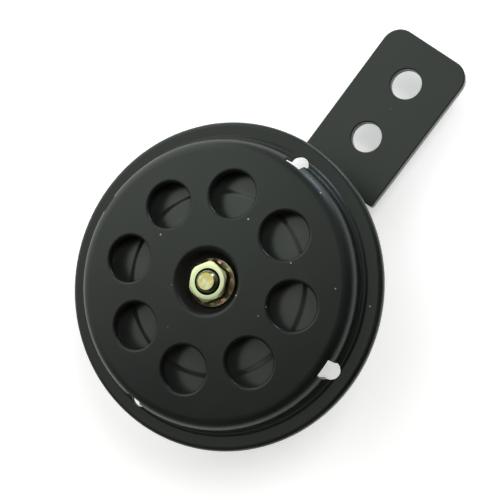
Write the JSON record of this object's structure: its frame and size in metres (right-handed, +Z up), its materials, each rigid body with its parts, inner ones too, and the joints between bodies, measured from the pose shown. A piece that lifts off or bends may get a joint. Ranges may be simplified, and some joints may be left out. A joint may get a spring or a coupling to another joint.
{
  "type": "car horn",
  "caption": "Electric disc horn: a perforated dished resonator disc on a diaphragm, a crimped housing with electromagnet and contacts, and a flat two-hole bracket.",
  "frame": {"origin": "midway between the bracket's two bolt holes, on the face that bears on the vehicle", "axes": "-Y forwards along the horn's level axis, +Z up along the bracket, +X to the viewer's right when the horn is seen from the front"},
  "size_m": [0.09, 0.051, 0.1336],
  "materials": {
    "disc_paint": "satin black paint",
    "bracket_paint": "satin black paint",
    "cup_paint": "satin black paint",
    "yellow_zinc": "yellow passivated zinc plate",
    "zinc": "bright zinc plate",
    "spring_steel": "rolled spring steel, lightly oiled",
    "soft_iron": "turned soft iron",
    "brass": "plain brass",
    "tungsten": "ground tungsten",
    "copper_winding": "enamelled copper wire",
    "nylon": "natural nylon",
    "laminate": "brown paper laminate",
    "gasket": "oiled gasket card"
  },
  "bodies": {
    "horn_body": {"bracket": "bracket_paint", "housing_cup": "cup_paint", "diaphragm": "spring_steel", "front_gasket": "gasket", "rear_gasket": "gasket", "clamp_ring": "cup_paint", "pole_core": "soft_iron", "coil_bobbin": "nylon", "coil_winding": "copper_winding", "contact_post": "zinc", "lower_insulator": "laminate", "middle_insulator": "laminate", "upper_insulator": "laminate", "moving_contact_leaf": "spring_steel", "fixed_contact_arm": "brass", "stack_clamp_plate": "zinc", "stack_rivets": "brass", "moving_contact": "tungsten", "fixed_contact": "tungsten", "contact_pusher": "laminate", "adjuster_bush": "brass", "adjuster_lock_nut": "zinc", "adjusting_screw": "zinc", "terminal_block": "laminate", "inner_insulator": "laminate", "live_terminal": "brass", "earth_terminal": "brass", "live_terminal_rivet": "brass", "earth_terminal_rivet": "brass", "core_nut": "zinc", "spring_washer": "zinc", "bracket_nut": "zinc"},
    "vibrating_group": {"resonator_disc": "disc_paint", "flange_nut": "yellow_zinc", "centre_stud": "yellow_zinc", "spacer_washer": "zinc", "backing_washer": "zinc", "armature": "soft_iron"}
  },
  "joints": [
    {"name": "diaphragm_stroke", "type": "slide", "parent": "horn_body", "child": "vibrating_group", "axis": [0, 1, 0], "range_m": [-0.0004, 0.0004], "stiffness_N_per_m": 20000, "deforming": ["diaphragm", "moving_contact_leaf", "moving_contact", "contact_pusher"]}
  ]
}
